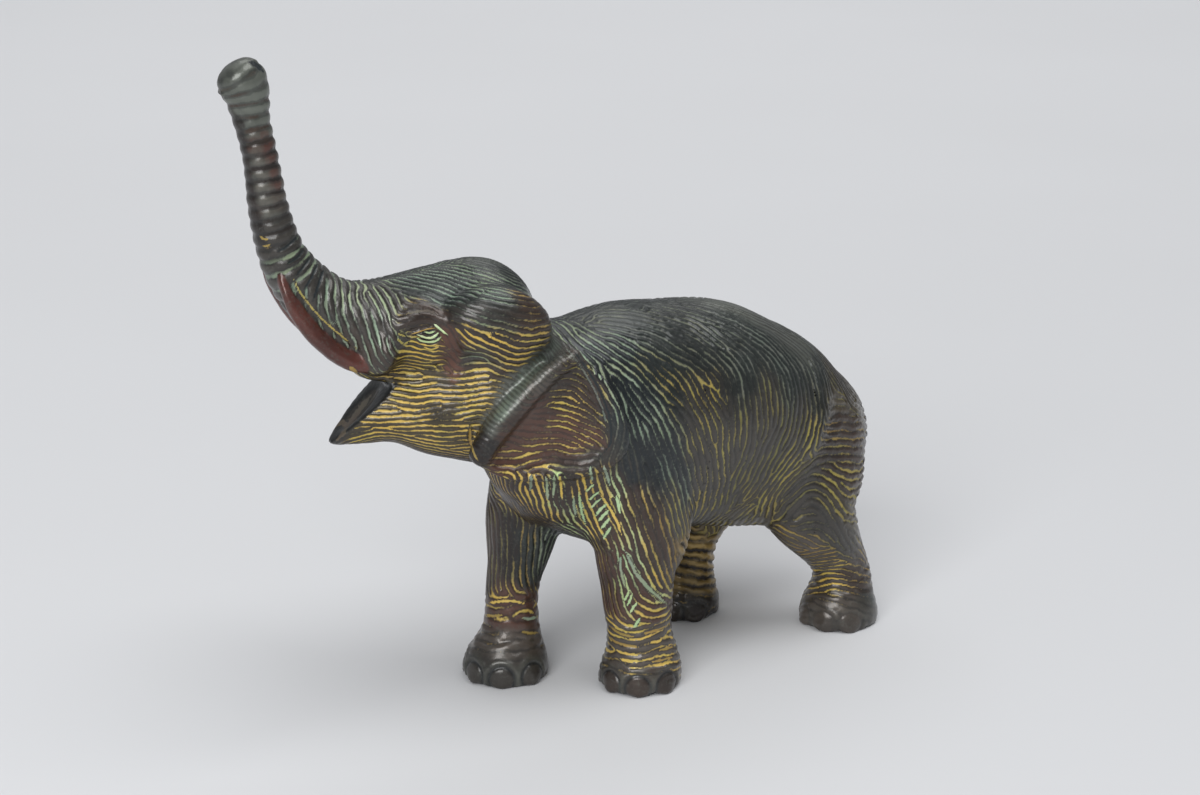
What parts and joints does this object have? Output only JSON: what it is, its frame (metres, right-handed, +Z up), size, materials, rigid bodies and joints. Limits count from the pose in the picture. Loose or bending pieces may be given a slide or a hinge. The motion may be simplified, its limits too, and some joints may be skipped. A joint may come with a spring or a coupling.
{
  "type": "elephant sculpture",
  "caption": "Cast bronze elephant in mid stride, trunk raised over its head, mouth open, tusks along the trunk, standing on its own flat soles.",
  "frame": {"origin": "on the ground under the middle of the box, at the soles", "axes": "the elephant faces -X, its left side faces -Y, +Z up; the head is turned twenty degrees to its right"},
  "size_m": [0.257, 0.0834, 0.2309],
  "materials": {
    "bronze": "dark brown, green-black and verdigris patina with gold rubbed lines, semi-gloss"
  },
  "bodies": {
    "root": {"bronze_elephant": "bronze"}
  },
  "joints": []
}
